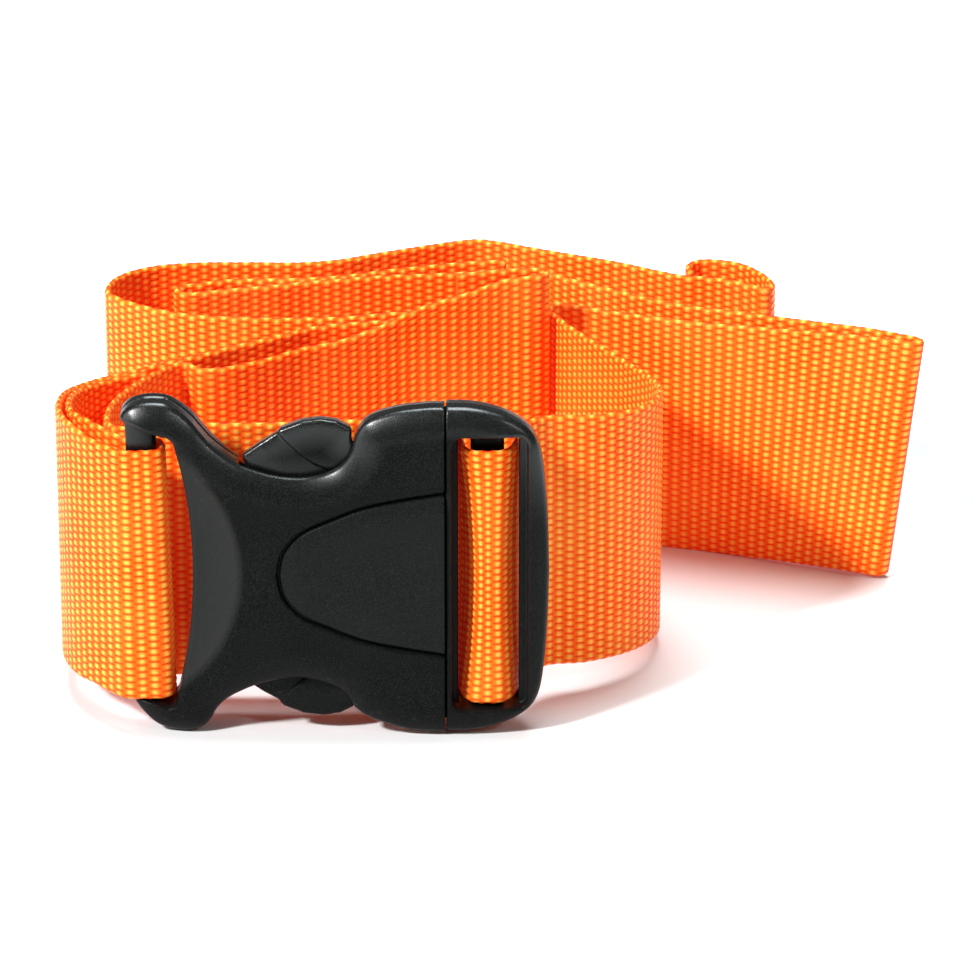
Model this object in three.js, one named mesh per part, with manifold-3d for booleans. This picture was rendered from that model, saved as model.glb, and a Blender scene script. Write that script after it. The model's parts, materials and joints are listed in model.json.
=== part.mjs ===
// A folded webbing strap with a side-release buckle, standing on its edge.
// Millimetres. X runs along the buckle, Y goes back from its front face, Z is up.
import * as THREE from 'three';
import { mergeVertices } from 'three/addons/utils/BufferGeometryUtils.js';
import Module from 'manifold-3d';

// ---- driving dimensions ----
const WEB_WIDTH = 50.8;
const WEB_THICKNESS = 1.2;
const FACE_GAP = 0.3;             // left between two pieces that meet face to face
const RIBBON_STEP = 2.4;          // spacing of the stations along a ribbon

const BUCKLE_LEAN = 0.5 * Math.PI / 180;
const BUCKLE_CENTRE = [0, 2.25, 33.13]; // x, y and z of the buckle's own origin
const HALF_HEIGHT = 32.3;
const SLOT_HALF = 26.8;           // half the length of every webbing slot
const SEAM = -7.8;                // where the socket meets the plug
const BODY = [0, 14];             // front and back of the socket's thick middle
const HORN = [2.75, 11.25];       // front and back of the horns and shoulders
const CAVITY = [3.2, 10.8];       // front and back of the space for the prongs
const CAVITY_HALF = 25;
const CAVITY_END = -46;
const CATCH = -24.5;              // the shoulders' faces that hold the prongs
const LATCH = [3.6, 10.4];        // front and back of the prongs and the cross bar
const SOCKET_BAR = { left: -66.6, right: -61.2, front: 5, back: 9.4 };
const PLUG_BAR = { left: -2.6, right: 3, front: 5.2, back: 9.4 };
const PLUG = { front: 2, back: 12, slotLeft: -6.4, slotRight: 7.7 };
const CROSS_BAR = { left: -10.6, right: -6.9, half: 24.4 };
const GUIDE = { left: -30, half: 5, front: 5, back: 9 };
const PRONG_ROOT = CROSS_BAR.left - FACE_GAP;

// ---- materials ----
const webbing = new THREE.MeshStandardMaterial({ color: 0xf57a1c, roughness: 0.6, metalness: 0 });
const acetal = new THREE.MeshStandardMaterial({ color: 0x1b1e1f, roughness: 0.42, metalness: 0 });
const thread = new THREE.MeshStandardMaterial({ color: 0xe0691a, roughness: 0.7, metalness: 0 });

// ---- solids ----
const wasm = await Module();
wasm.setup();

function solid(geometry) {
  const bare = geometry.index ? geometry.toNonIndexed() : geometry.clone();
  bare.deleteAttribute('normal');
  bare.deleteAttribute('uv');
  const merged = mergeVertices(bare, 1e-4);
  return new wasm.Manifold(new wasm.Mesh({
    numProp: 3,
    vertProperties: new Float32Array(merged.attributes.position.array),
    triVerts: new Uint32Array(merged.index.array),
  }));
}

function geometryOf(manifold) {
  const mesh = manifold.getMesh();
  const geometry = new THREE.BufferGeometry();
  geometry.setAttribute('position', new THREE.BufferAttribute(mesh.vertProperties, 3));
  geometry.setIndex(new THREE.BufferAttribute(mesh.triVerts, 1));
  return geometry;
}

// The buckle is drawn face on: x along it, y up its face, z towards the viewer.
// A plate lies between two depths behind the front face, with rounded edges.
function plate(outline, [front, back], edge = 0) {
  const geometry = new THREE.ExtrudeGeometry(new THREE.Shape(outline), {
    depth: back - front - 2 * edge,
    bevelEnabled: edge > 0,
    bevelThickness: edge,
    bevelSize: edge,
    bevelOffset: -edge,
    bevelSegments: 2,
  });
  return solid(geometry.translate(0, 0, edge - back));
}

function block(left, right, bottom, top, front, back) {
  const geometry = new THREE.BoxGeometry(right - left, top - bottom, back - front);
  return solid(geometry.translate((left + right) / 2, (bottom + top) / 2, -(front + back) / 2));
}

const points = (list) => list.map(([x, y]) => new THREE.Vector2(x, y));
const mirrored = (list) => list.map(([x, y]) => [x, -y]).reverse();

// A smooth outline through the upper half's points, mirrored in the x axis.
function bothHalves(half, perSpan = 2) {
  const curve = new THREE.SplineCurve(points(half));
  const upper = curve.getPoints(perSpan * (half.length - 1)).map((p) => [p.x, p.y]);
  return points([...upper, ...mirrored(upper).filter(([, y]) => Math.abs(y) > 1e-6)]);
}

// ---- socket ----
function socketSolid() {
  const upperHalf = [
    [-67.2, 0], [-67.2, 26], [-66, 29.4], [-63, 31.6], [-59, HALF_HEIGHT],
    [-54.6, 30.8], [-51.4, 27.7], [-48.4, 23.8], [-44.5, 21.2], [-39, 19.7],
    [-33.5, 19.5], [-29, 20.9], [-26.2, 23.7], [-24.6, 27.7], [-22.2, 29.9],
    [-17, 31.4], [-12, 32.1], [SEAM, HALF_HEIGHT],
  ];
  const outline = bothHalves(upperHalf);
  const scoop = new THREE.EllipseCurve(-66, 0, 22.4, 28).getPoints(40).slice(0, -1);
  const body = plate(outline, BODY, 1).subtract(plate(scoop, [-1, 15]));
  const ribs = plate(outline, HORN, 1);
  const padHalf = [[-39, 0], [-38, 4.4], [-34.8, 8.2], [-29.6, 10.6], [-21, 13.9], [SEAM, 16.2]];
  const pad = plate(bothHalves(padHalf), [-0.6, 1]);

  const slotCurve = new THREE.SplineCurve(points([
    [-58.4, SLOT_HALF], [-57, 20], [-55.4, 10], [-54.8, 0],
  ]));
  const slotEdge = slotCurve.getPoints(6).map((p) => [p.x, p.y]);
  const slot = plate(points([
    [SOCKET_BAR.right, SLOT_HALF], ...slotEdge, ...mirrored(slotEdge.slice(0, -1)), [SOCKET_BAR.right, -SLOT_HALF],
  ]), [-2, 16]);
  const { left, right, front, back } = SOCKET_BAR;
  const aroundBar = block(-70, right, -SLOT_HALF, SLOT_HALF, -2, 16)
    .subtract(block(left, right + 1, -SLOT_HALF - 1, SLOT_HALF + 1, front, back));
  const cavity = block(CAVITY_END, SEAM + 2, -CAVITY_HALF, CAVITY_HALF, ...CAVITY)
    .add(block(CAVITY_END, CATCH, -HALF_HEIGHT, HALF_HEIGHT, ...CAVITY));
  return body.add(ribs).add(pad).subtract(slot).subtract(aroundBar).subtract(cavity);
}

// ---- plug ----
function plugSolid() {
  const rightHalf = [
    [SEAM + FACE_GAP, HALF_HEIGHT], [-3.2, 32.2], [1.5, 31.2], [5.5, 29.1], [8.6, 26],
    [10.4, 21.3], [11.4, 12], [11.7, 0],
  ];
  const ring = plate(bothHalves(rightHalf), [PLUG.front, PLUG.back], 1);
  const window = block(PLUG.slotLeft, PLUG.slotRight, -SLOT_HALF, SLOT_HALF, 0, 14);
  const bar = block(PLUG_BAR.left, PLUG_BAR.right, -SLOT_HALF - 1, SLOT_HALF + 1,
    PLUG_BAR.front, PLUG_BAR.back);
  const crossBar = block(CROSS_BAR.left, CROSS_BAR.right, -CROSS_BAR.half, CROSS_BAR.half, ...LATCH);
  const guide = block(GUIDE.left, CROSS_BAR.left + 1, -GUIDE.half, GUIDE.half, GUIDE.front, GUIDE.back);
  return ring.subtract(window).add(bar).add(crossBar).add(guide);
}

// side is 1 for the upper prong and -1 for the lower one.
function prongSolid(side) {
  const outer = [[-22.5, 24.2], [-24.2, 24.4], [CATCH - 0.4, 25.2], [CATCH - 0.4, 27.4], [-27.5, 28.8],
    [-30.8, 29.3], [-34.4, 28.8], [-38.6, 27], [-42, 24.8], [-45.2, 22.2]];
  const inner = [[-44.6, 20.6], [-38, 18.8], [-30, 18.3], [-22, 17.8], [PRONG_ROOT - 0.9, 17]];
  const outline = [[PRONG_ROOT, 17.9], [PRONG_ROOT, 22.4], ...outer, ...inner];
  const turned = side > 0 ? outline : mirrored(outline);
  return plate(points(turned), LATCH, 0.6);
}

// ---- webbing ----
// A route is a list of [x, y, lift, lean]: the middle of the tape in plan, how far its lower
// edge is off the floor, and how far back its upper edge leans. A ribbon is the stretch of a
// route from one of its points to another, cut back a little where another stretch meets it.
function route(list) {
  const at = (p, i) => p[i] ?? 0;
  const plan = list.map((p) => new THREE.Vector3(p[0], p[1], at(p, 2)));
  const leans = list.map((p) => new THREE.Vector3(p[0], p[1], at(p, 3)));
  return {
    spans: list.length - 1,
    plan: new THREE.CatmullRomCurve3(plan, false, 'centripetal'),
    lean: new THREE.CatmullRomCurve3(leans, false, 'centripetal'),
  };
}

function ribbon(tape, first, last) {
  const from = first / tape.spans;
  const to = last / tape.spans;
  const fine = 40 * (last - first);
  const stations = [];
  let since = Infinity;
  let previous = null;
  for (let i = 0; i <= fine; i += 1) {
    const t = from + (to - from) * i / fine;
    const p = tape.plan.getPoint(t);
    const tangent = tape.plan.getTangent(t);
    since += previous ? Math.hypot(p.x - previous.x, p.y - previous.y) : 0;
    previous = p;
    const turn = stations.length ? tangent.angleTo(stations.at(-1).tangent) : 0;
    if (since >= RIBBON_STEP || turn > 0.3 || i === 0 || i === fine) {
      stations.push({ p, tangent, lean: tape.lean.getPoint(t).z });
      since = 0;
    }
  }
  const ends = [stations[0], stations.at(-1)];
  const cut = [first > 0 ? FACE_GAP / 2 : 0, last < tape.spans ? -FACE_GAP / 2 : 0];
  ends.forEach(({ p, tangent }, i) => p.addScaledVector(tangent, cut[i]));

  const corners = [];
  for (const { p, tangent, lean } of stations) {
    const length = Math.hypot(tangent.x, tangent.y);
    const nx = -tangent.y / length * WEB_THICKNESS / 2;
    const ny = tangent.x / length * WEB_THICKNESS / 2;
    for (const [side, end] of [[1, -1], [-1, -1], [-1, 1], [1, 1]]) {
      const y = p.y + side * ny + end * lean / 2;
      corners.push(p.x + side * nx, y, p.z + (end > 0 ? WEB_WIDTH : 0));
    }
  }
  const faces = [0, 1, 2, 0, 2, 3];
  for (let s = 0; s < stations.length - 1; s += 1) {
    for (let k = 0; k < 4; k += 1) {
      const a = 4 * s + k;
      const b = 4 * s + (k + 1) % 4;
      faces.push(a, b + 4, b, a, a + 4, b + 4);
    }
  }
  const z = 4 * (stations.length - 1);
  faces.push(z, z + 2, z + 1, z, z + 3, z + 2);
  const geometry = new THREE.BufferGeometry();
  geometry.setAttribute('position', new THREE.Float32BufferAttribute(corners, 3));
  geometry.setIndex(faces);
  return geometry;
}

const LIFT = 6.6;                 // the tape hangs this high in the buckle's slots
const LEAN = WEB_WIDTH * Math.sin(BUCKLE_LEAN);

// The socket's tape starts at its sewn end, turns round the socket's bar and folds away behind.
const socketTape = route([
  [-66.4, 65.3, 0], [-68.3, 63.9, 0], [-72.6, 60.1, 0.3], [-75.4, 56.3, 0.8],
  [-77.3, 52.6, 1.4], [-78.5, 48.8, 2.2], [-79.1, 43.8, 3.4], [-79.3, 38, 4.6],
  [-79, 31.4, 5.6], [-77.7, 25.6, 6.2], [-75, 20.8, LIFT],
  [-71.4, 16.4, LIFT, LEAN], [-67.5, 13.2, LIFT, LEAN],
  [-63.5, 12.7, LIFT, LEAN], [-61, 12.4, LIFT, LEAN], [-59.9, 11.4, LIFT, LEAN],
  [-59.6, 9.2, LIFT, LEAN], [-59.9, 7, LIFT, LEAN], [-61, 6, LIFT, LEAN],
  [-63.5, 5.7, LIFT, LEAN], [-67.4, 5.8, LIFT, LEAN],
  [-70.6, 8.7, LIFT, LEAN], [-74.9, 13.9, LIFT], [-77.9, 18.8, LIFT],
  [-79.9, 24.5, 6.2], [-81, 31, 5.6], [-81.2, 38, 4.6], [-81, 44, 3.4],
  [-80.3, 49.3, 2.2], [-79, 53.4, 1.4], [-77, 57.3, 0.8], [-74, 61.4, 0.3],
  [-69.5, 65.4, 0], [-65, 68.8, 0], [-60.5, 71.9, 0], [-56.5, 74.8, 0], [-51, 79.5, 0],
  [-45, 83.6, 0], [-41, 86.6, 0], [-35, 91.3, 0], [-27, 94, 0], [-19, 95.8, 0],
  [-14.5, 97.2, 0], [-13.2, 99, 0], [-14.6, 100.7, 0], [-19, 100.2, 0], [-27, 97.8, 0],
  [-35, 97, 0], [-42, 96.8, 0], [-47, 97, 0], [-53, 97.6, 0], [-57, 98.2, 0],
  [-61, 99.6, 0], [-65, 101.4, 0], [-70, 105, 0], [-74.5, 109.2, 0], [-77, 113.2, 0],
  [-77.3, 117.6, 0], [-75.8, 122.6, 0], [-73, 126.3, 0], [-69, 129.2, 0], [-61, 131.4, 0],
  [-49, 131.8, 0], [-38, 131.8, 0], [-32, 133.1, 0], [-22, 138.2, 0], [-12, 143.1, 0],
  [-6, 145.8, 0], [-2, 146.9, 0], [2, 145.7, 0], [8, 142.3, 0], [15, 138.5, 0],
  [28, 131.5, 0], [36, 126, 0], [41, 123.2, 0], [45, 122.6, 0], [50, 120.4, 0],
  [54, 117.8, 0], [56.8, 115.6, 0], [58.3, 117.6, 0], [57.5, 123, 0], [55.6, 127, 0],
  [53, 130.7, 0], [48.5, 133.3, 0], [44, 133.4, 0], [41.7, 130.6, 0], [42.2, 127.2, 0],
]);

// The plug's tape starts at its free end, passes behind the buckle, over the plug's bar and
// round the loop on the right, and ends in the folds at the back.
const plugTape = route([
  [-6, 95.2, 9.9], [0, 97, 9.9], [7, 98.6, 9.9], [11, 98.4, 9.9], [12.2, 96.8, 9.9],
  [11, 95.4, 9.9], [3, 94, 8.9], [-4, 92, 7], [-14, 89, 4.6], [-21, 86, 2.2], [-29, 82, 0.5],
  [-37, 77.6, 0.3], [-44, 72, 0], [-48, 69.3, 0], [-52, 67.2, 0], [-55, 66.6, 0],
  [-57, 67.9, 0], [-59, 69.8, 0.2], [-61, 68.9, 0.3], [-63.4, 65, 0.6], [-66.2, 59, 1.1],
  [-69.2, 50, 1.9], [-71.3, 41.5, 2.6], [-72, 35.5, 2.6], [-71.6, 30, 2], [-69.3, 25.6, 1.2],
  [-65, 23.7, 0.6], [-58, 23.2, 0.4], [-45, 23, 0.8], [-28, 22.8, 3.6],
  [-15, 22, 6.2], [-8.4, 19.6, LIFT, LEAN], [-5.3, 15.8, LIFT, LEAN],
  [-4.9, 11.8, LIFT, LEAN], [-4.2, 7.8, LIFT, LEAN], [-2.6, 5.4, LIFT, LEAN],
  [0.1, 4.9, LIFT, LEAN], [2.8, 5.4, LIFT, LEAN], [4.7, 7.8, LIFT, LEAN],
  [5.6, 11.8, LIFT, LEAN], [6.3, 15.8, LIFT, LEAN], [8, 19.8, 6.5, 0.2], [11.4, 23.4, 6.2, -0.4],
  [19, 26.4, 5.4, -1.6], [24, 29.4, 5, -2.6], [29, 34.6, 4.4, -3.2], [31.8, 40, 3.8, -3],
  [33.2, 46.5, 3, -2.6], [33.2, 53, 2.2, -2], [31.8, 59.6, 1.2, -1], [29.6, 65.6, 0.5],
  [27, 72, 0], [24, 77.8, 0], [21, 83.5, 0], [18, 89.5, 0], [16, 93.5, 0], [14.6, 97.5, 0],
  [12.8, 101.8, 0], [12.4, 104.6, 0], [14.2, 106.3, 0], [17.5, 104.9, 0], [21, 103, 0],
  [29, 99.5, 0], [36, 96.5, 0], [42, 94.2, 0], [48, 92.2, 0], [55, 89.8, 0], [62, 87.4, 0],
  [72, 84, 0], [78.4, 81.6, 0], [82.4, 80.3, 0], [84, 81.4, 0], [82.9, 82.9, 0], [79, 85.1, 0],
  [76, 87.1, 0], [66, 92.4, 0], [60, 95.4, 0], [51, 99.8, 0], [42, 104, 0], [33, 109, 0],
  [28, 113, 0], [19, 120, 0], [13, 124.8, 0], [8, 127.2, 0], [4, 127.3, 0], [-4, 125.6, 0],
  [-14, 124.2, 0], [-21, 123.4, 0], [-31, 120.9, 0], [-38, 119.2, 0], [-42, 117.7, 0],
  [-50, 115.5, 0], [-56, 113.6, 0], [-61, 112.7, 0], [-63.3, 115.2, 0], [-61.5, 117.5, 0],
  [-58, 118.8, 0], [-54, 120.6, 0], [-46, 121.3, 0], [-38, 121.7, 0], [-30, 123.4, 0],
  [-20, 127.2, 0], [-13, 129.6, 0], [-4, 132.2, 0], [4, 133.5, 0],
]);

// ---- stitching ----
// Two rows of thread bars on the outside of the socket tape, where its sewn end lies inside it.
function stitches() {
  const rows = [socketTape.plan.getPoint(30.4 / socketTape.spans),
    socketTape.plan.getPoint(31.6 / socketTape.spans)];
  const tangents = [socketTape.plan.getTangent(30.4 / socketTape.spans),
    socketTape.plan.getTangent(31.6 / socketTape.spans)];
  const geometry = new THREE.BoxGeometry(1.2, 0.5, WEB_WIDTH - 9);
  return rows.map((p, i) => {
    const angle = Math.atan2(tangents[i].y, tangents[i].x);
    const out = WEB_THICKNESS / 2 + FACE_GAP + 0.25;
    const bar = geometry.clone().rotateZ(angle);
    return bar.translate(p.x - Math.sin(angle) * out, p.y + Math.cos(angle) * out,
      p.z + WEB_WIDTH / 2);
  });
}

// ---- assembly ----
const part = new THREE.Group();

function add(parent, name, geometry, material) {
  const mesh = new THREE.Mesh(geometry, material);
  mesh.name = name;
  parent.add(mesh);
}

const buckle = new THREE.Group();
buckle.position.set(...BUCKLE_CENTRE);
buckle.rotation.x = Math.PI / 2 - BUCKLE_LEAN;
add(buckle, 'buckle_socket', geometryOf(socketSolid()), acetal);
add(buckle, 'buckle_plug', geometryOf(plugSolid()), acetal);
add(buckle, 'upper_release_prong', geometryOf(prongSolid(1)), acetal);
add(buckle, 'lower_release_prong', geometryOf(prongSolid(-1)), acetal);

const strap = new THREE.Group();
[
  ['socket_strap_sewn_loop', socketTape, 0, 37],
  ['socket_strap_inner_fold', socketTape, 37, 50],
  ['socket_strap_back_fold', socketTape, 50, 68],
  ['socket_strap_end_loop', socketTape, 68, socketTape.spans],
  ['plug_strap_free_end', plugTape, 0, 18],
  ['plug_strap_rear_run', plugTape, 18, 32],
  ['plug_strap_bar_wrap', plugTape, 32, 40],
  ['plug_strap_front_loop', plugTape, 40, 56],
  ['plug_strap_right_fold', plugTape, 56, 85],
  ['plug_strap_back_fold', plugTape, 85, plugTape.spans],
].forEach(([name, tape, first, last]) => add(strap, name, ribbon(tape, first, last), webbing));
const [lowerRow, upperRow] = stitches();
add(strap, 'stitch_row_front', lowerRow, thread);
add(strap, 'stitch_row_back', upperRow, thread);

// The origin is under the middle of the part's box.
const assembly = new THREE.Group();
assembly.add(buckle, strap);
assembly.updateMatrixWorld(true);
const box = new THREE.Box3().setFromObject(assembly, true);
assembly.position.set(-(box.min.x + box.max.x) / 2, -(box.min.y + box.max.y) / 2, -box.min.z);
part.add(assembly);
part.updateMatrixWorld(true);

export default part;
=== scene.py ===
"""A folded spine board strap with a side-release buckle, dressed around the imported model."""
import json
import math

import bpy
import numpy as np
import openvdb
from mathutils import Matrix, Vector


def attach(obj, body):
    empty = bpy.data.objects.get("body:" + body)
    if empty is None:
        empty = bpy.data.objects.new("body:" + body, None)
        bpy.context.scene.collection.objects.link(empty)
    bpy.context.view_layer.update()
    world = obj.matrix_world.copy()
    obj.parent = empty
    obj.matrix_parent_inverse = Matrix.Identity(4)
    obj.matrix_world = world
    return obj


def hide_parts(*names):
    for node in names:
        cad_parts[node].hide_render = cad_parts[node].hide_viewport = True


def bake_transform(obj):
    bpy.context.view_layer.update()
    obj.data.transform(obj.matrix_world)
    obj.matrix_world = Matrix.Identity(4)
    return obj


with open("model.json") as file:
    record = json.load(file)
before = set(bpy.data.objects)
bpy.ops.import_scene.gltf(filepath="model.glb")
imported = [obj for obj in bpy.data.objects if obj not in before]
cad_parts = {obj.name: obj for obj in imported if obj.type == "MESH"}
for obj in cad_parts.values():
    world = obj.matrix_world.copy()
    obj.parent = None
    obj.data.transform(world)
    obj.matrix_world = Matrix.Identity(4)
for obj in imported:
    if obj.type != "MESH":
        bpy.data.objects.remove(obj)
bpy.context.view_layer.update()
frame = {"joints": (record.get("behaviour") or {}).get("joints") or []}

# ---- sizes, in millimetres unless a name says otherwise ----
MM = 0.001
WEB_WIDTH = 50.8
WEB_HALF = 0.42               # half the tape's thickness between its bumps
BUMP = 0.28                   # how far a bump of the weave stands up
YARNS = 36                    # yarns of one set across the tape
YARN = WEB_WIDTH / YARNS
PICK = 2.15                   # length of one bump along the tape
FLOAT = 0.62                  # half of a bump's full length, in picks
YARN_HALF = 0.47              # half of a bump's full width, in yarns
SELVEDGE = 0.7                # how far in from its edges the tape thins
RIPPLE = 0.07                 # how far the picks push its edges in and out
EDGE_STAND = 0.1              # how far the edges stand out from the tape's width
ALONG = 4                     # stations along one bump
ACROSS = 3                    # stations across one yarn
ROUTE_STEPS = 24              # curve points between two points of a tape's route
OUTLINE_STEPS = 6             # curve points between two points of a moulding's outline
BUCKLE_LEAN = math.radians(0.5)
VOXEL = 0.3

# The upper prong's hinge is known both in the buckle's own drawing and in the frame.
HINGE_DRAWN = (-10.9, 20.1, 7.0)
# The tapes' plan starts on the floor, below and in front of the drawing's origin.
PLAN_FRONT = 2.25
PLAN_BELOW = 33.13


def tilt(u, h, w):
    """A point of the buckle's drawing (along, up the face, back from the face), leaned back."""
    y = h * math.sin(BUCKLE_LEAN) + w * math.cos(BUCKLE_LEAN)
    z = h * math.cos(BUCKLE_LEAN) - w * math.sin(BUCKLE_LEAN)
    return np.stack(np.broadcast_arrays(u, y, z), axis=-1)


joints = {j["name"]: j for j in frame["joints"]}
hinge = np.array(joints["upper_prong_squeeze"]["pos_m"]) / MM
BUCKLE_ORIGIN = hinge - tilt(*HINGE_DRAWN)
PLAN_ORIGIN = BUCKLE_ORIGIN - np.array([0, PLAN_FRONT, PLAN_BELOW])


# ---- camera ----
CAMERA_PITCH = math.radians(21)
CAMERA_DISTANCE = 1000.0
PICTURE_WIDTH = 182.55        # what the picture spans at the front of the buckle
SENSOR_MM = 36
DROP = 48.22                  # how far below the picture's middle the buckle's foot is drawn


def add_camera():
    forward = np.array([0, math.cos(CAMERA_PITCH), -math.sin(CAMERA_PITCH)])
    up = np.array([0, math.sin(CAMERA_PITCH), math.cos(CAMERA_PITCH)])
    eye = PLAN_ORIGIN - CAMERA_DISTANCE * forward + DROP * up
    data = bpy.data.cameras.new("camera")
    data.sensor_width = SENSOR_MM
    data.lens = SENSOR_MM * CAMERA_DISTANCE / PICTURE_WIDTH
    data.clip_end = 20
    camera = bpy.data.objects.new("camera", data)
    camera.matrix_world = Matrix.Translation(Vector(eye * MM)) @ Matrix.Rotation(
        math.pi / 2 - CAMERA_PITCH, 4, "X"
    )
    bpy.context.scene.collection.objects.link(camera)
    bpy.context.scene.camera = camera


add_camera()


# ---- small helpers ----
def new_mesh(name, points_mm, faces, material):
    """A smooth mesh object from points in millimetres and lists of faces, each of one size."""
    mesh = bpy.data.meshes.new(name)
    points = np.asarray(points_mm, np.float32) * MM
    faces = [np.asarray(part, np.int32) for part in faces]
    loops = np.concatenate([part.ravel() for part in faces])
    totals = np.concatenate([np.full(len(part), part.shape[1]) for part in faces])
    mesh.vertices.add(len(points))
    mesh.vertices.foreach_set("co", points.ravel())
    mesh.loops.add(len(loops))
    mesh.loops.foreach_set("vertex_index", loops)
    mesh.polygons.add(len(totals))
    mesh.polygons.foreach_set("loop_start", np.r_[0, np.cumsum(totals)[:-1]].astype(np.int32))
    mesh.polygons.foreach_set("use_smooth", np.ones(len(totals), bool))
    mesh.update(calc_edges=True)
    mesh.validate()
    mesh.materials.append(material)
    piece = bpy.data.objects.new(name, mesh)
    bpy.context.scene.collection.objects.link(piece)
    return piece


def catmull_rom(points, per_span, power=0):
    """Points along a Catmull-Rom curve, its knots spaced by each chord's length to a power."""
    p = np.asarray(points, float)
    p = np.vstack([2 * p[0] - p[1], p, 2 * p[-1] - p[-2]])
    out = []
    for i in range(1, len(p) - 2):
        a, b, c, d = p[i - 1 : i + 3]
        gap = [max(np.linalg.norm(y - x), 1e-6) ** power for x, y in ((a, b), (b, c), (c, d))]
        m1 = (b - a) / gap[0] - (c - a) / (gap[0] + gap[1]) + (c - b) / gap[1]
        m2 = (c - b) / gap[1] - (d - b) / (gap[1] + gap[2]) + (d - c) / gap[2]
        m1, m2 = m1 * gap[1], m2 * gap[1]
        t = np.linspace(0, 1, per_span, endpoint=False)[:, None]
        out.append(
            (2 * t**3 - 3 * t**2 + 1) * b + (t**3 - 2 * t**2 + t) * m1
            + (-2 * t**3 + 3 * t**2) * c + (t**3 - t**2) * m2
        )
    return np.vstack([*out, p[-2][None]])


def smooth(x, low, high):
    """0 below low and 1 above high, with a smooth turn between."""
    t = np.clip((x - low) / (high - low), 0, 1)
    return t * t * (3 - 2 * t)


# ---- materials ----
class Nodes:
    """Builds one node material, with math written as calls."""

    def __init__(self, name):
        self.material = bpy.data.materials.new(name)
        self.material.use_nodes = True
        self.tree = self.material.node_tree
        self.shader = self.tree.nodes["Principled BSDF"]

    def put(self, socket, value):
        if isinstance(value, bpy.types.NodeSocket):
            self.tree.links.new(value, socket)
        else:
            socket.default_value = value

    def node(self, kind, output=0, settings=(), **inputs):
        made = self.tree.nodes.new(kind)
        for key, value in dict(settings).items():
            setattr(made, key, value)
        for key, value in inputs.items():
            self.put(made.inputs[key.replace("_", " ")], value)
        return made.outputs[output]

    def math(self, operation, a, b=0.0, c=0.0):
        made = self.tree.nodes.new("ShaderNodeMath")
        made.operation = operation
        for socket, value in zip(made.inputs, (a, b, c)):
            self.put(socket, value)
        return made.outputs[0]

    def mix(self, factor, a, b):
        made = self.tree.nodes.new("ShaderNodeMix")
        made.data_type = "RGBA"
        self.put(made.inputs["Factor"], factor)
        self.put(made.inputs["A"], a)
        self.put(made.inputs["B"], b)
        return made.outputs["Result"]

    def ramp(self, value, low, high):
        return self.node(
            "ShaderNodeMapRange", Value=value,
            From_Min=low, From_Max=high, To_Min=0.0, To_Max=1.0,
        )

    def set(self, **inputs):
        for key, value in inputs.items():
            self.put(self.shader.inputs[key.replace("_", " ")], value)


def float_height(n, x, y):
    """Nodes for one set of yarns: x is picks from a bump's crown and y is yarns from it."""
    along = n.math("MINIMUM", n.math("DIVIDE", x, FLOAT), 1.0)
    top = n.math("COSINE", n.math("MULTIPLY", along, math.pi / 2))
    half = n.math("MULTIPLY", n.math("ADD", n.math("MULTIPLY", top, 0.35), 0.65), YARN_HALF)
    off = n.math("DIVIDE", y, half)
    fall = n.math("SUBTRACT", 1.0, n.math("MULTIPLY", off, off))
    side = n.math("SQRT", n.math("MAXIMUM", fall, 0.0))
    return n.math("MULTIPLY", top, side)


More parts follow.
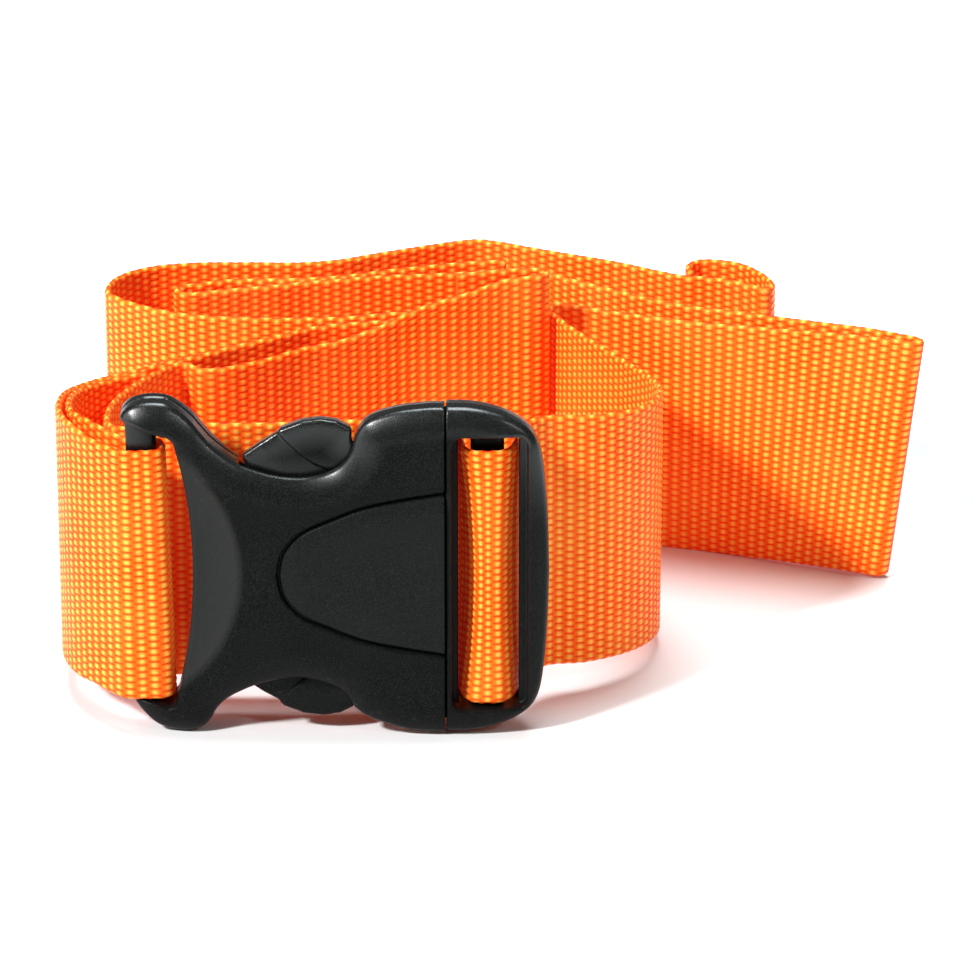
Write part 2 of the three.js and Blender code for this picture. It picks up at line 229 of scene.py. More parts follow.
def webbing_material():
    """Orange woven tape, with painted shade between its bumps, painted glints on their crowns and a
    faint painted red glow. Its coordinates are millimetres along and across the tape.
    """
    n = Nodes("orange_webbing")
    where = n.node("ShaderNodeAttribute", 1, {"attribute_name": "tape"})
    split = n.tree.nodes.new("ShaderNodeSeparateXYZ")
    n.put(split.inputs[0], where)
    along, across = split.outputs[0], split.outputs[1]
    pick = n.math("DIVIDE", along, PICK)
    yarn = n.math("DIVIDE", across, YARN)
    x = n.math("PINGPONG", n.math("SUBTRACT", pick, 0.5), 1.0)
    y = n.math("PINGPONG", n.math("SUBTRACT", yarn, 0.5), 0.5)
    crown = n.math(
        "MAXIMUM", float_height(n, x, y),
        float_height(n, n.math("SUBTRACT", 1.0, x), n.math("SUBTRACT", 0.5, y)),
    )
    step = n.math("PINGPONG", n.math("FLOOR", pick), 1.0)
    cell = n.node(
        "ShaderNodeCombineXYZ", X=n.math("FLOOR", pick),
        Y=n.math("FLOOR", n.math("ADD", yarn, n.math("MULTIPLY", step, 0.5))),
    )
    shade = n.node("ShaderNodeTexWhiteNoise", 0, {"noise_dimensions": "2D"}, Vector=cell)
    slant = n.math("ADD", n.math("MULTIPLY", across, 9.0), n.math("MULTIPLY", along, 1.3))
    fibre_at = n.node("ShaderNodeCombineXYZ", X=n.math("MULTIPLY", along, 0.9), Y=slant, Z=0.0)
    fibre = n.node("ShaderNodeTexNoise", 0, Vector=fibre_at, Scale=1.0, Detail=3.0, Roughness=0.6)
    broad = n.node("ShaderNodeTexNoise", 0, Vector=where, Scale=0.05, Detail=2.0)

    deep = (0.76, 0.034, 0.005, 1)
    plain = (0.92, 0.145, 0.004, 1)
    bright = (1.0, 0.68, 0.12, 1)
    # Painted shade: the gaps between the bumps are mixed towards the deep red.
    colour = n.mix(n.ramp(crown, 0.0, 0.45), deep, plain)
    # Painted highlights: the bright yellow is mixed onto the bumps' crowns as glints, broken up by
    # the fibres.
    from_crown = n.math("MINIMUM", x, n.math("SUBTRACT", 1.0, x))
    glint = n.math("MULTIPLY", n.ramp(crown, 0.62, 0.93), n.ramp(from_crown, 0.38, 0.12))
    light = n.math("MULTIPLY", glint, n.ramp(fibre, 0.3, 0.54))
    colour = n.mix(n.math("MULTIPLY", light, 0.8), colour, bright)
    colour = n.mix(n.math("MULTIPLY", n.ramp(shade, 0.1, 1.0), 0.12), colour, deep)
    colour = n.mix(n.math("MULTIPLY", n.ramp(broad, 0.4, 0.7), 0.08), colour, bright)
    height = n.math("ADD", n.math("MULTIPLY", crown, 0.6), n.math("MULTIPLY", fibre, 0.35))
    bump = n.node("ShaderNodeBump", Strength=0.7, Distance=0.15 * MM, Height=height)
    rough = n.math("SUBTRACT", 0.6, n.math("MULTIPLY", n.ramp(crown, 0.3, 0.8), 0.24))
    # The faint red emission is a painted glow that keeps the tape red where it lies in shade.
    n.set(
        Base_Color=colour, Roughness=rough, Normal=bump, Specular_IOR_Level=0.2,
        Specular_Tint=(1, 0.66, 0.26, 1),
        Emission_Color=(1, 0.015, 0.012, 1), Emission_Strength=0.12,
    )
    return n.material


def acetal_material():
    """Black moulded plastic with a fine spark-eroded grain, polished a little on its edges."""
    n = Nodes("black_acetal")
    at = n.node("ShaderNodeTexCoord", 3)
    grain = n.node("ShaderNodeTexNoise", 0, Vector=at, Scale=4200.0, Detail=2.0, Roughness=0.6)
    cloud = n.node("ShaderNodeTexNoise", 0, Vector=at, Scale=90.0, Detail=3.0)
    scuff_at = n.node("ShaderNodeMapping", 0, Vector=at, Scale=(500.0, 500.0, 4200.0))
    scuff = n.node("ShaderNodeTexNoise", 0, Vector=scuff_at, Scale=0.5, Detail=4.0, Roughness=0.7)
    edge = n.ramp(n.node("ShaderNodeNewGeometry", 7), 0.52, 0.6)
    matt_pad_and_lit_scoop = n.node("ShaderNodeAttribute", 2, {"attribute_name": "matt_pad_and_lit_scoop"})
    base = n.mix(n.ramp(cloud, 0.3, 0.8), (0.0015, 0.002, 0.0018, 1), (0.0035, 0.004, 0.0036, 1))
    base = n.mix(n.math("MULTIPLY", edge, 0.5), base, (0.02, 0.022, 0.022, 1))
    base = n.mix(n.math("MULTIPLY", n.ramp(grain, 0.45, 0.7), 0.6), base, (0.02, 0.022, 0.021, 1))
    # The thumb pad is a lighter, duller tone; the same lightening on the scoop beside the slot is
    # painted light.
    base = n.mix(n.math("MULTIPLY", matt_pad_and_lit_scoop, 0.15), base, (0.03, 0.032, 0.031, 1))
    polish = n.node("ShaderNodeAttribute", 2, {"attribute_name": "polish"})
    rough = n.math("ADD", 0.3, n.math("MULTIPLY", n.ramp(grain, 0.3, 0.7), 0.1))
    rough = n.math("ADD", rough, n.math("MULTIPLY", n.ramp(scuff, 0.6, 0.8), 0.08))
    bump = n.node("ShaderNodeBump", Strength=0.6, Distance=0.03 * MM, Height=grain)
    rough = n.math("SUBTRACT", rough, n.math("MULTIPLY", polish, 0.06))
    level = n.math("ADD", 0.05, n.math("MULTIPLY", polish, 0.5))
    n.set(Base_Color=base, Roughness=rough, Normal=bump, Specular_IOR_Level=level)
    return n.material


def thread_material():
    """Bonded sewing thread, twisted."""
    n = Nodes("orange_thread")
    at = n.node("ShaderNodeTexCoord", 3)
    twist = n.node("ShaderNodeTexWave", 1, Vector=at, Scale=900.0, Distortion=1.0)
    # Painted shade: the thread is darker in the grooves of its twist, where its bump is low.
    colour = n.mix(twist, (0.5, 0.06, 0.006, 1), (0.85, 0.2, 0.02, 1))
    bump = n.node("ShaderNodeBump", Strength=0.5, Distance=0.05 * MM, Height=twist)
    n.set(Base_Color=colour, Roughness=0.55, Normal=bump, Sheen_Weight=0.2)
    return n.material


WEBBING = webbing_material()
ACETAL = acetal_material()
THREAD = thread_material()


# ---- the tapes ----
# A route is [x, y, lift, lean, slant]: the middle of the tape in plan, how far its lower edge
# is off the floor, and how far its upper edge stands back and to the right of its lower one.
LIFT = 6.6
SOCKET_LIFT = LIFT - 0.2      # round the socket's bar
PLUG_LIFT = LIFT - 0.4        # round the plug's bar
LEAN = WEB_WIDTH * math.sin(BUCKLE_LEAN)

SOCKET_ROUTE = [
    [-66.4, 65.3], [-68.3, 63.9], [-72.6, 60.1, 0.3], [-75.4, 56.3, 0.8],
    [-77.3, 52.6, 1.4], [-78.5, 48.8, 2.2], [-79.1, 43.8, 3.4], [-79.3, 38, 4.6],
    [-79, 31.4, 5.6], [-77.7, 25.6, 6.2], [-75, 20.8, LIFT],
    [-71.4, 16.4, SOCKET_LIFT, LEAN], [-67.5, 13.2, SOCKET_LIFT, LEAN],
    [-63.5, 12.7, SOCKET_LIFT, LEAN], [-61, 12.4, SOCKET_LIFT, LEAN, -0.8],
    [-59.9, 11.4, SOCKET_LIFT, LEAN, -1.2], [-59.6, 9.2, SOCKET_LIFT, LEAN, -1.2],
    [-59.9, 7, SOCKET_LIFT, LEAN, -1.2], [-61, 6, SOCKET_LIFT, LEAN, -1.1],
    [-63.5, 5.7, SOCKET_LIFT, LEAN, -0.6], [-67.4, 5.8, SOCKET_LIFT, LEAN],
    [-70.6, 8.7, SOCKET_LIFT, LEAN], [-74.9, 13.9, LIFT], [-77.9, 18.8, LIFT],
    [-79.9, 24.5, 6.2], [-81, 31, 5.6], [-81.2, 38, 4.6], [-81, 44, 3.4],
    [-80.3, 49.3, 2.2], [-79, 53.4, 1.4], [-77, 57.3, 0.8], [-74, 61.4, 0.3],
    [-69.5, 65.4], [-65, 68.8], [-60.5, 71.9], [-56.5, 74.8], [-51, 79.5],
    [-45, 83.6], [-41, 86.6], [-35, 91.3], [-27, 94], [-19, 95.8],
    [-14.5, 97.2], [-13.2, 99], [-14.6, 100.7], [-19, 100.2], [-27, 97.8],
    [-35, 97], [-42, 96.8], [-47, 97], [-53, 97.6], [-57, 98.2],
    [-61, 99.6], [-65, 101.4], [-70, 105], [-74.5, 109.2], [-77, 113.2],
    [-77.3, 117.6], [-75.8, 122.6], [-73, 126.3], [-69, 129.2], [-61, 131.4],
    [-49, 131.8], [-38, 131.8], [-32, 133.1], [-22, 138.2], [-12, 143.1],
    [-6, 145.8], [-2, 146.9], [2, 145.7], [8, 142.3], [15, 138.5],
    [28, 131.5], [36, 126], [41, 123.2], [45, 122.6], [50, 120.4],
    [54, 117.8], [56.8, 115.6], [58.3, 117.6], [57.5, 123], [55.6, 127],
    [53, 130.7], [48.5, 133.3], [44, 133.4], [41.7, 130.6], [42.2, 127.2],
]
PLUG_ROUTE = [
    [-6, 95.2, 9.9], [0, 97, 9.9], [7, 98.6, 9.9], [11, 98.4, 9.9], [12.2, 96.8, 9.9],
    [11, 95.4, 9.9], [3, 94, 8.9], [-4, 92, 7], [-14, 89, 4.6], [-21, 86, 2.2], [-29, 82, 0.5],
    [-37, 77.6, 0.3], [-44, 72], [-48, 69.3], [-52, 67.2], [-55, 66.6],
    [-57, 67.9], [-59, 69.8, 0.2], [-61, 68.9, 0.3], [-63.4, 65, 0.6], [-66.2, 59, 1.1],
    [-69.2, 50, 1.9], [-71.3, 41.5, 2.6], [-72, 35.5, 2.6], [-71.6, 30, 2.6], [-69.3, 25.6, 3.2],
    [-65, 23.7, 4], [-58, 23.2, 4.6], [-45, 23, 4.8], [-28, 22.8, 5.4],
    [-15, 22, 6.2], [-8.4, 19.6, PLUG_LIFT, LEAN], [-5.3, 15.8, PLUG_LIFT, LEAN],
    [-4.9, 11.8, PLUG_LIFT, LEAN], [-4.2, 7.8, PLUG_LIFT, LEAN], [-2.6, 5.4, PLUG_LIFT, LEAN],
    [0.1, 4.9, PLUG_LIFT, LEAN], [2.8, 5.4, PLUG_LIFT, LEAN], [4.7, 7.8, PLUG_LIFT, LEAN],
    [5.6, 11.8, PLUG_LIFT, LEAN], [6.3, 15.8, PLUG_LIFT, LEAN], [8, 19.8, 6.5, 0.2],
    [11.4, 23.4, 6.2, -0.4], [19, 26.4, 5.4, -1.6], [24, 29.4, 5, -2.6],
    [29, 34.6, 4.4, -3.2], [31.8, 40, 3.8, -3],
    [33.2, 46.5, 3, -2.6], [33.2, 53, 2.2, -2], [31.8, 59.6, 1.2, -1], [29.6, 65.6, 0.5],
    [27, 72], [24, 77.8], [21, 83.5], [18, 89.5], [16, 93.5], [14.6, 97.5],
    [12.8, 101.8], [12.4, 104.6], [14.2, 106.3], [17.5, 104.9], [21, 103],
    [29, 101, 0, -3], [36, 98.7, 0, -4.4], [42, 96.6, 0, -4.8], [48, 94.5, 0.2, -4.6, 0.5],
    [55, 91.8, 0.4, -4, 1.3], [62, 89.1, 0.6, -3.4, 2.4], [72, 85.4, 0.8, -2.8, 4.2],
    [78.4, 82.8, 0.8, -2.4, 5.2], [82, 81.5, 0.8, -2.4, 5.6], [83.5, 82.6, 0.8, -2.4, 5.7],
    [82.5, 84.1, 0.8, -2.4, 5.6], [79, 86.3, 0.8, -2.2, 5.2], [76, 88.2, 0.8, -2, 4.8],
    [66, 93, 0.6, -1.2, 3], [60, 95.8, 0.4, -0.8, 2], [51, 99.9, 0.2, 0, 0.8], [42, 104], [33, 109],
    [28, 113], [19, 120], [13, 124.8], [8, 127.2], [4, 127.3], [-4, 125.6],
    [-14, 124.2], [-21, 123.4], [-31, 120.9], [-38, 119.2], [-42, 117.7],
    [-50, 115.5], [-56, 113.6], [-61, 112.7], [-63.3, 115.2], [-61.5, 117.5],
    [-58, 118.8], [-54, 120.6], [-46, 121.3], [-38, 121.7], [-30, 123.4],
    [-20, 127.2], [-13, 129.6], [-4, 132.2], [4, 133.5],
]


def stations(route, spacing):
    """Even stations along a route: plan, lift, lean and slant, direction and distance along."""
    full = [list(p) + [0.0] * (5 - len(p)) for p in route]
    fine = catmull_rom(full, ROUTE_STEPS, 1)
    run = np.r_[0, np.cumsum(np.linalg.norm(np.diff(fine[:, :2], axis=0), axis=1))]
    count = max(2, round(run[-1] / spacing))
    at = np.linspace(0, run[-1], count + 1)
    even = np.stack([np.interp(at, run, fine[:, k]) for k in range(5)], axis=1)
    tangent = np.gradient(even[:, :2], axis=0)
    tangent /= np.linalg.norm(tangent, axis=1)[:, None]
    return even, tangent, at


def weave(along, across):
    """Height of the weave's bumps, 0 to 1, at distances along and across the tape."""
    x = np.abs(np.mod(along / PICK - 0.5 + 1, 2) - 1)
    y = np.abs(np.mod(across / YARN, 1) - 0.5)
    height = 0
    for off, side in ((x, y), (1 - x, 0.5 - y)):
        top = np.cos(np.minimum(off / FLOAT, 1) * math.pi / 2)
        half = YARN_HALF * (0.65 + 0.35 * top)
        height = np.maximum(height, top * np.sqrt(np.clip(1 - (side / half) ** 2, 0, 1)))
    return height


BAR_X = 0.3                   # the middle of the plug's bar in plan
BAR_REACH = 4                 # how far out from it the tape is drawn in fully
TIGHT_SIDE = 20               # the tape is tight round a bar in front of here
SQUEEZE_FROM, SQUEEZE_FULL = 18, 12    # its edges draw in between these two depths


def waist(x, y, up):
    """How far the tape is drawn in, left to right and back, at the middle of the plug's bar."""
    tight = np.clip((TIGHT_SIDE - y) / 8, 0, 1) * (1 - (2 * up - 1) ** 2)
    from_left = 1.9 * np.clip((BAR_X - x) / BAR_REACH, 0, 1)
    from_right = -0.9 * np.clip((x - BAR_X) / BAR_REACH, 0, 1)
    inward = np.where(x < BAR_X, from_left, from_right)
    back_in = 0.5 * np.clip(1 - np.abs(x - BAR_X) / BAR_REACH, 0, 1)
    return inward * tight, back_in * tight


def tape(name, route, squeeze, waist_span=None):
    """A woven tape along a route, as one closed mesh with the weave on both faces.

    squeeze is how far each edge is drawn in where the tape passes round its bar, and
    waist_span is where, from left to right, its middle is drawn in too.
    """
    even, tangent, at = stations(route, PICK / ALONG)
    across = np.linspace(0, WEB_WIDTH, YARNS * ACROSS + 1)
    from_edge = np.minimum(across, WEB_WIDTH - across)
    round_off = np.sqrt(np.clip(1 - (1 - np.clip(from_edge / SELVEDGE, 0, 1)) ** 2, 0.04, 1))
    bumps = weave(at[:, None], across[None, :])
    half = (WEB_HALF + BUMP * bumps) * round_off[None, :]
    picks = RIPPLE * np.cos(2 * math.pi * at / PICK)
    edge_pull = np.zeros((len(at), len(across)))
    edge_pull[:, 0] = -picks - EDGE_STAND
    edge_pull[:, -1] = picks + EDGE_STAND
    x, y, lift, lean, slant = (even[:, k : k + 1] for k in range(5))
    up = (across[None, :] + edge_pull) / WEB_WIDTH
    up = up + squeeze / WEB_WIDTH * (1 - 2 * up) * smooth(-y, -SQUEEZE_FROM, -SQUEEZE_FULL)
    inward = back_in = 0.0
    if waist_span:
        round_bar = (x > waist_span[0]) & (x < waist_span[1]) & (y < TIGHT_SIDE)
        inward, back_in = (np.where(round_bar, d, 0) for d in waist(x, y, up))
    centre = np.stack([
        x + slant * (up - 0.5) + inward,
        y + lean * (up - 0.5) + back_in,
        lift + up * WEB_WIDTH,
    ], axis=-1)
    normal = np.stack([-tangent[:, 1], tangent[:, 0], 0 * at], axis=1)[:, None, :]
    front = centre - normal * half[..., None]
    back = centre + normal * half[..., None]
    ring = np.concatenate([front, back[:, ::-1]], axis=1)
    rows, size = ring.shape[:2]
    points = ring.reshape(-1, 3) + PLAN_ORIGIN
    index = np.arange(rows * size).reshape(rows, size)
    after = np.roll(index, -1, axis=1)
    sides = np.stack([index[:-1], index[1:], after[1:], after[:-1]], axis=-1).reshape(-1, 4)
    k = np.arange(size // 2 - 1)
    caps = []
    for end, turn in ((0, 1), (rows - 1, -1)):
        cap = np.stack([k, k + 1, size - 2 - k, size - 1 - k], axis=1) + end * size
        caps.append(cap[:, ::turn])
    piece = new_mesh(name, points, [np.vstack([sides, *caps])], WEBBING)
    place = np.zeros((rows, size, 3))
    place[..., 0] = at[:, None]
    place[..., 1] = np.r_[across, across[::-1]][None, :]
    where = piece.data.attributes.new("tape", "FLOAT_VECTOR", "POINT")
    where.data.foreach_set("vector", place.astype(np.float32).ravel())
    return piece


socket_tape = tape("socket_tape", SOCKET_ROUTE, 0.7)
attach(socket_tape, "root")
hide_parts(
    "socket_strap_sewn_loop", "socket_strap_inner_fold",
    "socket_strap_back_fold", "socket_strap_end_loop",
)

plug_tape = tape("plug_tape", PLUG_ROUTE, 0.3, waist_span=(-6.5, 8))
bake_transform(plug_tape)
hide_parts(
    "plug_strap_free_end", "plug_strap_rear_run", "plug_strap_bar_wrap",
    "plug_strap_front_loop", "plug_strap_right_fold", "plug_strap_back_fold",
)


# ---- the buckle, from distance fields ----
def distance_to(outline, u, h):
    """Signed distance to a closed outline over a plane of points, negative inside."""
    best = np.full(np.broadcast(u, h).shape, 1e9)
    inside = np.zeros(best.shape, bool)
    for (ax, ay), (bx, by) in zip(outline, np.roll(outline, -1, axis=0)):
        ex, ey = bx - ax, by - ay
        t = np.clip(((u - ax) * ex + (h - ay) * ey) / max(ex * ex + ey * ey, 1e-12), 0, 1)
        best = np.minimum(best, (u - ax - t * ex) ** 2 + (h - ay - t * ey) ** 2)
        crosses = (ay > h) != (by > h)
        side = u < ax + (h - ay) * ex / (ey if abs(ey) > 1e-12 else 1e-12)
        inside ^= crosses & side
    return np.where(inside, -1, 1) * np.sqrt(best)


def join(a, b, soft=0.0):
    """The union of two fields, with a fillet."""
    if soft <= 0:
        return np.minimum(a, b)
    k = np.clip(0.5 + 0.5 * (b - a) / soft, 0, 1)
    return b + (a - b) * k - soft * k * (1 - k)


def cut(a, b, soft=0.0):
    """a without b, with the new edges rounded."""
    return -join(-a, b, soft)


def brick(u, h, w, lo, hi, radius):
    """A rounded box between two corners."""
    q = [abs(x - (a + b) / 2) - (b - a) / 2 + radius for x, a, b in zip((u, h, w), lo, hi)]
    out = np.sqrt(sum(np.maximum(x, 0) ** 2 for x in q))
    return out + np.minimum(np.maximum(np.maximum(q[0], q[1]), q[2]), 0) - radius


def mirrored(half):
    """The outline through an upper half's points and their mirror image."""
    upper = catmull_rom(half, OUTLINE_STEPS)
    lower = (upper * [1, -1])[::-1]
    return np.vstack([upper, lower[np.abs(lower[:, 1]) > 1e-6]])


def corner(a, b, radius):
    """What is inside both of two fields, with the edge between them rounded."""
    a, b = a + radius, b + radius
    return np.hypot(np.maximum(a, 0), np.maximum(b, 0)) + np.minimum(np.maximum(a, b), 0) - radius


def solid(name, field, rim, lo, hi, body, node):
    """Meshes a field of the buckle's drawing between two corners (u, h, w).

    rim is the piece's outline, towards which its faces are worn smooth.
    """
    axes = [np.arange(a, b + VOXEL, VOXEL) for a, b in zip(lo, hi)]
    u, h, w = axes[0][:, None, None], axes[1][None, :, None], axes[2][None, None, :]
    values = np.ascontiguousarray(field(u, h, w), dtype=np.float32)
    band = 3 * VOXEL
    grid = openvdb.FloatGrid(band)
    grid.copyFromArray(np.clip(values, -band, band))
    points, triangles, quads = grid.convertToPolygons(isovalue=0.0, adaptivity=0.0)
    at = points * VOXEL + np.array(lo)
    placed = tilt(at[:, 0], at[:, 1], at[:, 2]) + BUCKLE_ORIGIN
    faces = [part for part in (quads, triangles) if len(part)]
    piece = new_mesh(name, placed, faces, ACETAL)
    # The thumb pad is moulded a lighter, duller tone; the scoop beside the slot is painted lighter
    # still, as painted light falling on it from the left.
    pad = distance_to(mirrored(PAD_HALF), at[:, 0], at[:, 1])
    scoop = SCOOP_RADIUS - np.hypot(at[:, 0] - SCOOP_CENTRE, at[:, 1])
    on_pad = np.clip(-pad / 0.3, 0, 1) * (at[:, 2] < 2)
    lit_scoop = np.clip(scoop / 1.5, 0, 1) * (at[:, 0] > SCOOP_END)
    matt_pad_and_lit_scoop = on_pad + 3.6 * lit_scoop
    polish = np.clip(1 + distance_to(rim, at[:, 0], at[:, 1]) / WORN, 0, 1)
    polish *= 0.1 + 0.9 * smooth(at[:, 1], 8, 26)
    for key, value in (("matt_pad_and_lit_scoop", matt_pad_and_lit_scoop), ("polish", polish)):
        layer = piece.data.attributes.new(key, "FLOAT", "POINT")
        layer.data.foreach_set("value", value.astype(np.float32))
    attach(piece, body)
    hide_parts(node)
    return piece


HALF_HEIGHT = 32.3
SLOT_HALF = 26.8
SEAM = -7.8                   # where the socket's mouth meets the plug's frame
MIDDLE = 7.0                  # the middle of the buckle's thickness
WORN = 6.0                    # how far in from its outline a moulding is worn smooth
SCOOP_CENTRE, SCOOP_RADIUS = -74.5, 29.4
SCOOP_END = -60               # the scoop's painted light stops here, at the slot
PRONG_ROOT = -9.9
SOCKET_TOP = [
    [-67.2, 0], [-67.2, 25.5], [-67.8, 28.4], [-67.5, 30.1], [-66, 31.6], [-63.5, 32.4],
    [-60.9, 32.5], [-58.8, 32.1], [-56.6, 30.7], [-54.4, 28.7], [-52.8, 26.7],
    [-50.6, 24.3], [-47.5, 22], [-44.5, 20.5], [-39, 18.9], [-33.5, 18.6],
    [-28.5, 20], [-25.4, 22.9], [-24, 27.1], [-21.9, 29.7],
    [-17, 31.4], [-12, 32.1], [SEAM, HALF_HEIGHT], [6, HALF_HEIGHT],
]
SOCKET_FOOT = [
    [-67.2, 0], [-67.2, -24], [-66.4, -26.2], [-64.4, -29.3], [-61.3, -32], [-56.8, -32.9],
    [-53.6, -32], [-51.8, -30.1], [-50.4, -27.6], [-48, -25.4], [-44.2, -23.4],
    [-41.2, -22.4], [-36, -21.5], [-31.9, -22], [-28.1, -23.4], [-26.1, -25.1],
    [-24.6, -27.6], [-21.9, -29.6], [-18.1, -31], [-14.4, -32], [SEAM, -32.5], [6, -32.5],
]
PAD_HALF = [[-38.4, 0], [-37.5, 4.1], [-34.4, 7.8], [-29.6, 10.2], [-21, 13.4], [SEAM + 3, 16.3]]
PLUG_HALF = [
    [-20, HALF_HEIGHT], [SEAM + 0.3, HALF_HEIGHT], [-3.2, 32.2], [0.7, 31.5], [4.5, 30.1],
    [8.1, 27.6], [9.9, 24.2], [10.8, 18.5], [11.4, 10], [11.7, 0],
]


def pillow(outline, w, half, drop, back_drop, reach, radius):
    """A plate whose two faces fall over the last reach of it, with a crisp edge."""
    rim = (1 - np.clip(-outline / reach, 0, 1)) ** 2
    fall = np.where(w > MIDDLE, back_drop, drop) * rim
    return corner(outline, np.abs(w - MIDDLE) - half + fall, radius)


# The socket's outline runs on past the seam, so that its faces don't fall towards it.
SOCKET_RIM = np.vstack([
    catmull_rom(SOCKET_TOP, OUTLINE_STEPS), catmull_rom(SOCKET_FOOT, OUTLINE_STEPS)[:0:-1],
])
PLUG_RIM = mirrored(PLUG_HALF)


def socket_plate(u, h, w, outline, body):
    """The socket's rounded plate, with a curved scoop beside its slot and a parting line."""
    thick = 5.4 + 1.6 * smooth(u, -60, -46)
    # Beside the slot the faces fall away from a curved crest.
    fall = np.clip((SCOOP_RADIUS - np.hypot(u - SCOOP_CENTRE, h)) / 9.7, 0, 1)
    inner = smooth(SLOT_HALF + 1 - np.abs(h), 0, 5)
    thick = thick - inner * (1 - (1 - fall) ** 1.7) * (thick - 2.7)
    plate = pillow(outline, w, thick, 2.6 - 0.4 * body, 2.1 + 3.7 * body, 6.0, 0.6)
    parting = np.maximum(np.abs(w - MIDDLE - 0.6) - 0.25, -outline - 0.35)
    return cut(plate, parting, 0.15)


def with_thumb_pad(whole, u, h, w):
    """Adds the raised thumb pad inside its groove."""
    pad = distance_to(mirrored(PAD_HALF), u[..., 0], h[..., 0])[..., None]
    groove = np.maximum(np.abs(pad - 0.3) - 0.35, w - 1.3)
    fall = 0.9 * (1 - np.clip(-pad / 4.5, 0, 1)) ** 2
    raised = corner(pad, np.abs(w - 2.0) - 2.7 + fall, 0.35)
    return join(cut(whole, groove, 0.15), raised, 0.1)


def with_slot_and_bar(whole, u, h, w, outline):
    """Opens the socket's slot, wider towards its open side, and closes it with its bar."""
    slot_edge = -54.8 - 3.4 * (h / SLOT_HALF) ** 2
    slot_top = h - 26.4 - 0.33 * np.clip(-59.7 - u, 0, 9)
    slot_foot = -27.8 + 0.24 * np.clip(-58.4 - u, 0, 9) - h
    slot = corner(u - slot_edge, np.maximum(slot_top, slot_foot), 1.6) + 0 * w
    bar = brick(u, h, w, (-67.4, -29, 4.8), (-61.2, 30, 9.2), 1.6)
    return join(cut(whole, slot, 0.8), np.maximum(bar, outline + 0.4), 0.6)


def socket_field(u, h, w):
    outline = distance_to(SOCKET_RIM, u[..., 0], h[..., 0])[..., None]
    body = smooth(u, -54, -42)
    outline = outline + 0.18 * body * np.maximum(w - 5, 0)
    whole = socket_plate(u, h, w, outline, body)
    whole = with_thumb_pad(whole, u, h, w)
    whole = with_slot_and_bar(whole, u, h, w, outline)
    cavity = brick(u, h, w, (-46, -25, 3.2), (0, 25, 10.8), 0.5)
    windows = brick(u, h, w, (-46, -40, 3.2), (-24.5, 40, 10.8), 0.5)
    whole = cut(whole, join(cavity, windows), 0.3)
    # The plug's tongue covers the seam from inside this rebate.
    rebate = np.maximum(np.maximum(-9.3 - u, np.abs(w - MIDDLE) - 2.4), outline + 1.1)
    return np.maximum(cut(whole, rebate), u - SEAM)


def plug_ring(u, h, w, outline):
    """The plug's frame round its window, with the tongue that enters the socket's rebate."""
    ring = np.maximum(pillow(outline, w, 6.5, 1.7, 5.0, 5.0, 0.9), SEAM + 0.3 - u)
    tongue = np.maximum(outline + 1.5, np.abs(w - MIDDLE) - 2.1)
    ring = join(ring, np.maximum(np.maximum(tongue, -9.0 - u), u))
    window = corner(np.abs(u - 0.65) - 7.05, np.abs(h + 0.4) - SLOT_HALF - 0.3, 2.0) + 0 * w
    return cut(ring, window, 0.8)


def plug_bar(u, h, w):
    """The adjuster bar, narrower at its middle, where the tape is drawn in."""
    narrow = np.clip(1 - (h / 23) ** 2, 0, 1)
    left, right = -3.0 + 1.9 * narrow, 3.3 - 0.9 * narrow
    return brick(u, h, w, (left, -29, 5.3), (right, 29, 9.5), 1.1)


def plug_field(u, h, w):
    outline = distance_to(PLUG_RIM, u[..., 0], h[..., 0])[..., None]
    outline = outline + 0.12 * np.maximum(w - 5, 0)
    right_ledge = brick(u, h, w, (6.0, -27.6, 4.4), (8.6, 26.8, 6.6), 0.4)
    left_ledge = brick(u, h, w, (-7.4, -27.6, 4.4), (-5.3, 26.8, 7.4), 0.4)
    sill = brick(u, h, w, (-5.0, -29.5, 8.5), (8.6, -26.95, 13.2), 0.4)
    ledge = np.maximum(join(join(left_ledge, right_ledge), sill), outline + 0.6)
    cross = brick(u, h, w, (-10.6, -24.4, 3.6), (-6.6, 24.4, 10.4), 0.5)
    guide = brick(u, h, w, (-30, -5, 5), (-8, 5, 9), 0.8)
    whole = join(join(plug_ring(u, h, w, outline), plug_bar(u, h, w), 0.8), cross, 0.3)
    return join(join(whole, guide, 0.8), ledge, 0.3)


def prong_rim(side):
    """The outline of one prong, blade and tab; side is 1 for the upper one and -1 for the lower."""
    outer = [[-22.5, 24.2], [-24.2, 24.4], [-24.9, 25.2], [-24.9, 27.4], [-27.5, 28.8],
             [-30.8, 29.3], [-34.4, 28.8], [-38.2, 27.3], [-39, 26.4], [-42, 24.5], [-45.2, 22.2]]
    inner = [[-44.6, 19.4], [-38, 16.8], [-30, 16.4], [-22, 16.8], [-10.6, 17]]
    outer = [[u, h + (0.6 if side < 0 else 0)] for u, h in outer]
    return np.array([[PRONG_ROOT, 17.9], [PRONG_ROOT, 22.4], *outer, *inner]) * [1, side]


def prong_field(rim):
    """The field of one prong, with a curved step across its tab."""
    def field(u, h, w):
        d = distance_to(rim, u[..., 0], h[..., 0])[..., None]
        # The step crosses the tab from its outer edge down to the catch.
        step = np.abs(h) - 19 - 0.0495 * (u + 26) ** 2
        low = (1 - smooth(step, -0.25, 0.2)) * smooth(-u, 24.5, 26.5)
        away = np.clip(-step / 7, 0, 1)
        d = d + 0.15 * np.maximum(w - 5, 0)
        return pillow(d, w, 3.3 - low * (0.65 - 0.45 * away), 0.35, 2.6, 2.5, 0.45)

    return field


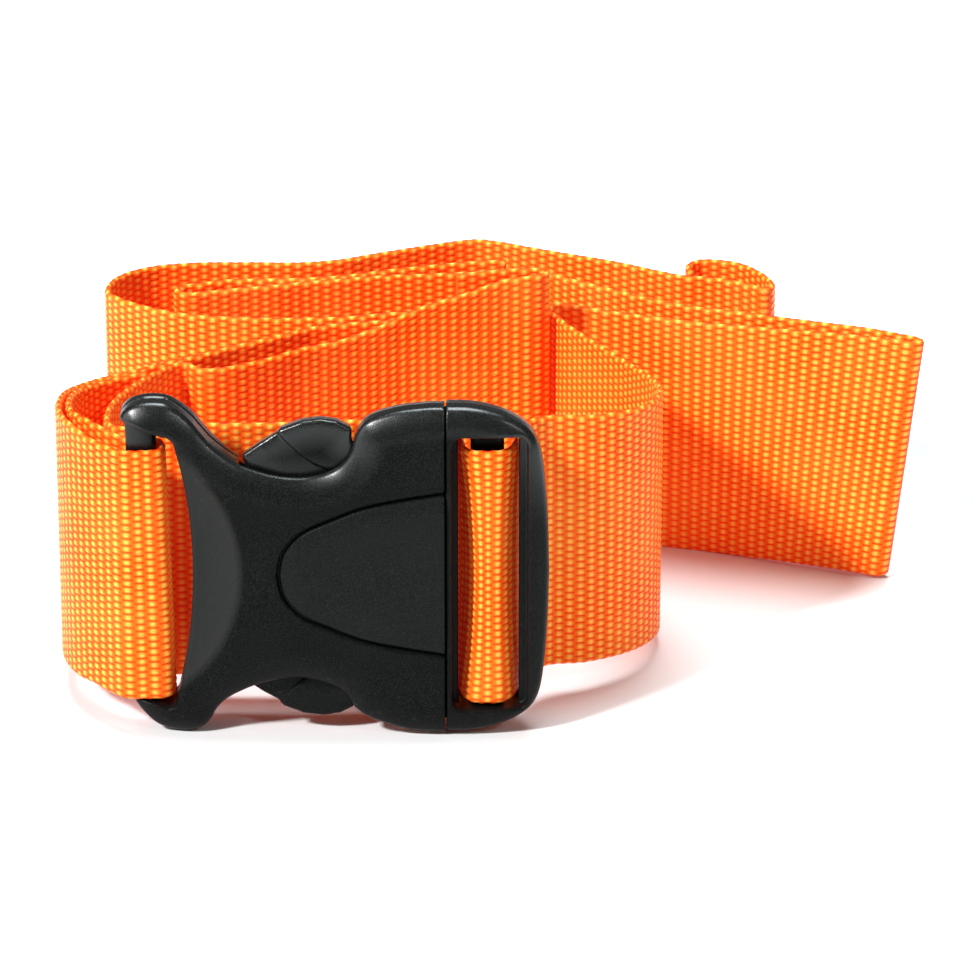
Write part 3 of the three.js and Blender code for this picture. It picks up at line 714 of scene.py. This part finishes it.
solid("buckle_socket_shell", socket_field, SOCKET_RIM,
      (-69, -34, -1.5), (-7, 33.8, 15.5), "root", "buckle_socket")
solid("buckle_plug_frame", plug_field, PLUG_RIM,
      (-31, -33.5, -0.5), (13, 33.5, 14.5), "plug", "buckle_plug")
for side, name in ((1, "upper"), (-1, "lower")):
    low, high = sorted((side * 15, side * 30.5))
    rim = prong_rim(side)
    solid(f"{name}_prong", prong_field(rim), rim,
          (-46.5, low, 2.5), (-9, high, 11.5), f"{name}_prong", f"{name}_release_prong")


# ---- stitching at the sewn end ----
STITCH = 2.6
STITCH_GAP = 0.3              # between one stitch and the next
STITCH_MARGIN = 4             # a row keeps this far from the tape's edges
THREAD_RADIUS = 0.28
THREAD_ARCH = 0.25            # how far a stitch's middle stands off the tape
SEWN_FROM, SEWN_TO = 168.0, 176.0


def stitch_row(name, distance, node):
    """One row of thread across the outside of the socket's tape, at a distance along it."""
    even, tangent, at = stations(SOCKET_ROUTE, 0.5)
    nearest = int(np.argmin(abs(at - distance)))
    (tx, ty), (x, y, lift) = tangent[nearest], even[nearest][:3]
    out, run = np.array([-ty, tx, 0]), np.array([tx, ty, 0])
    points, faces, ends = [], [], []
    sides, rings = 8, 9
    for i in range(int((WEB_WIDTH - 2 * STITCH_MARGIN) / STITCH)):
        for t in np.linspace(0, 1, rings):
            arch = math.sin(math.pi * t)
            z = STITCH_MARGIN + i * STITCH + t * (STITCH - STITCH_GAP)
            centre = np.array([x, y, lift + z])
            centre = centre + out * (WEB_HALF + BUMP - 0.15 + THREAD_ARCH * arch)
            r = THREAD_RADIUS * (0.35 + 0.65 * max(arch, 0) ** 0.5)
            for a in np.arange(sides) * 2 * math.pi / sides:
                points.append(centre + r * (math.cos(a) * out + math.sin(a) * run) + PLAN_ORIGIN)
        base = i * rings * sides
        for ring in range(rings - 1):
            for k in range(sides):
                a, b = base + ring * sides + k, base + ring * sides + (k + 1) % sides
                faces.append([a, b, b + sides, a + sides])
        ends.append([base + k for k in reversed(range(sides))])
        ends.append([base + (rings - 1) * sides + k for k in range(sides)])
    piece = new_mesh(name, points, [faces, ends], THREAD)
    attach(piece, "root")
    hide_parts(node)


stitch_row("stitching_front", SEWN_FROM, "stitch_row_front")
stitch_row("stitching_back", SEWN_TO, "stitch_row_back")


# ---- floor and light ----
FLOOR_REACH = 12.0            # metres from the object to the floor's edge
WORLD_LIGHT = 0.12


def add_floor():
    size = FLOOR_REACH
    n = Nodes("pale_floor")
    n.set(Base_Color=(0.82, 0.82, 0.82, 1), Roughness=0.9, Specular_IOR_Level=0.1)
    mesh = bpy.data.meshes.new("floor")
    corners = [(-size, -size, 0), (size, -size, 0), (size, size, 0), (-size, size, 0)]
    mesh.from_pydata(corners, [], [(0, 1, 2, 3)])
    mesh.materials.append(n.material)
    floor = bpy.data.objects.new("floor", mesh)
    bpy.context.scene.collection.objects.link(floor)


def add_sun(name, towards, strength, angle, colour=(1, 1, 1)):
    """Soft distant light; towards points from the object to the light."""
    data = bpy.data.lights.new(name, "SUN")
    data.energy = strength
    data.angle = math.radians(angle)
    data.color = colour
    light = bpy.data.objects.new(name, data)
    light.rotation_euler = Vector(towards).to_track_quat("Z", "Y").to_euler()
    bpy.context.scene.collection.objects.link(light)


def add_world():
    world = bpy.data.worlds.new("studio")
    world.use_nodes = True
    back = world.node_tree.nodes["Background"]
    back.inputs["Color"].default_value = (1, 1, 1, 1)
    back.inputs["Strength"].default_value = WORLD_LIGHT
    bpy.context.scene.world = world


add_floor()
add_sun("key", (-0.56, -0.5, 0.66), 4.2, 7)
add_sun("left", (-0.9, -0.35, 0.28), 0.6, 30)
add_sun("right", (0.56, -0.56, 0.61), 0.35, 3)
add_sun("top", (0.03, 0.22, 1.0), 3.5, 30, (0.86, 0.97, 1))
add_world()
bpy.context.scene.view_settings.view_transform = "Standard"
